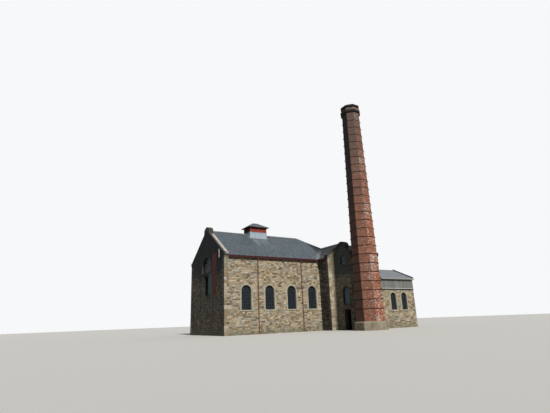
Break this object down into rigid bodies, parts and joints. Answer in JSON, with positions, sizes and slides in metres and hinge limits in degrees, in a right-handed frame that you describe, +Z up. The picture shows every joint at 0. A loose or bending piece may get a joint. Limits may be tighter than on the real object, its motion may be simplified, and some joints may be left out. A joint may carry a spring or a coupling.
{
  "type": "winding engine house",
  "caption": "Stone colliery winding engine house with coped and hipped slate roofs, a tall gabled bay, a low range, a ridge ventilator and an octagonal brick chimney.",
  "frame": {"origin": "on the ground under the middle of the whole plan, chimney and range included", "axes": "+X along the front wall of the hall from its rope gable towards the low range, +Y from the chimney side to the back of the hall, +Z up"},
  "size_m": [28.85, 22.5968, 32.2],
  "materials": {
    "rubble_stone": "coursed rubble, weathered and soot-stained",
    "dressed_stone": "tooled freestone, weathered",
    "slate": "split roofing slate, matt",
    "lead": "dull weathered lead",
    "gutter_iron": "old maroon paint, dull",
    "downpipe_iron": "rust-brown paint, dull",
    "floor_stone": "plain flags, dusty",
    "window_paint": "old off-white paint on thin bars",
    "glass": "old drawn glass, dusty",
    "green_timber": "pale green paint, weathered",
    "red_oxide_steel": "red oxide paint, rusting",
    "pale_pipe": "galvanised, dull",
    "white_boards": "white paint, weathered",
    "louvre_paint": "brick-red paint, weathered",
    "grey_cladding": "factory-coated ribbed sheet",
    "grey_sheet_roof": "pale coated sheet, streaked",
    "chimney_brick": "hard-fired brick, sooty towards the top",
    "plinth_stone": "tooled stone, weathered",
    "band_iron": "rusted wrought bands"
  },
  "bodies": {
    "root": {"front_wall": "rubble_stone", "rear_wall": "rubble_stone", "rope_gable": "rubble_stone", "end_wall": "rubble_stone", "hall_gable_coping": "dressed_stone", "engine_floor": "floor_stone", "front_slope": "slate", "rear_slope": "slate", "hip_slope": "slate", "wing_slope": "slate", "ridge_rolls": "lead", "valley_lead": "lead", "gutters": "gutter_iron", "downpipes": "downpipe_iron", "wing_side_wall": "rubble_stone", "wing_gable": "rubble_stone", "wing_coping": "dressed_stone", "bay_left_gable": "rubble_stone", "bay_front_wall": "rubble_stone", "bay_right_gable": "rubble_stone", "bay_copings": "dressed_stone", "bay_roof": "slate", "bay_ridge_roll": "lead", "window_surrounds": "dressed_stone", "window_frames": "window_paint", "window_glass": "glass", "rope_lining": "green_timber", "slot_plates": "red_oxide_steel", "gable_pipe": "pale_pipe", "cupola_base": "white_boards", "cupola_louvres": "louvre_paint", "cupola_roof": "slate", "range_front_wall": "rubble_stone", "range_rear_wall": "rubble_stone", "range_end_wall": "rubble_stone", "range_cladding": "grey_cladding", "range_roof": "grey_sheet_roof", "range_gutters": "grey_sheet_roof", "chimney_plinth": "plinth_stone", "chimney_shaft": "chimney_brick", "chimney_bands": "band_iron", "chimney_head": "chimney_brick"}
  },
  "joints": []
}
